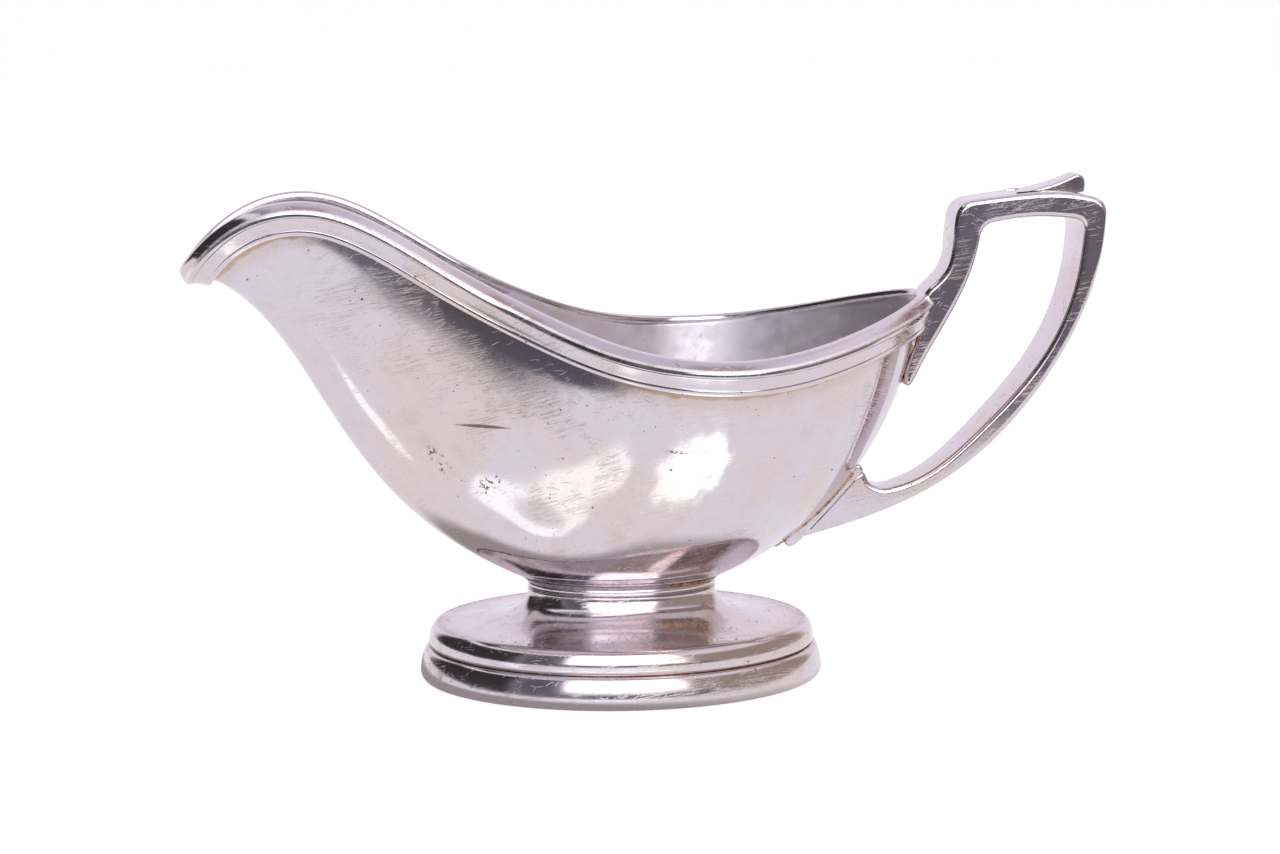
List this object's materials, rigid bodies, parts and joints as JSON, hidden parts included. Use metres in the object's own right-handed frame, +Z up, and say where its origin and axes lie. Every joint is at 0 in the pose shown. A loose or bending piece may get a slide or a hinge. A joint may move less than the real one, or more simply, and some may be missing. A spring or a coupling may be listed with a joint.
{
  "type": "gravy boat",
  "caption": "Silver-plated gravy boat: leaf-shaped bowl with a long pouring spout, banded rim, strap handle with thumb scroll, on a stepped oval pedestal foot.",
  "frame": {"origin": "centre of the flat underside of the foot", "axes": "+X towards the handle with the spout at -X, +Y across, +Z up"},
  "size_m": [0.1965, 0.0818, 0.1081],
  "materials": {
    "bowl_plate": "worn polished silver plate with fine scratches and grey pits",
    "border_plate": "worn polished silver plate, tan tarnish in the corner under the lower bead",
    "foot_plate": "worn polished silver plate with speckled edges and tan tarnish in the grooves",
    "handle_plate": "worn polished silver plate, brighter where the edges are rubbed",
    "solder": "exposed brown and orange solder, dull"
  },
  "bodies": {
    "root": {"bowl": "bowl_plate", "rim_border_near": "border_plate", "rim_border_far": "border_plate", "neck_collar": "foot_plate", "foot": "foot_plate", "foot_base_band": "foot_plate", "handle": "handle_plate", "thumb_piece": "handle_plate", "lower_mount_flange": "handle_plate", "neck_solder": "solder", "upper_handle_solder": "solder", "lower_handle_solder": "solder"}
  },
  "joints": []
}
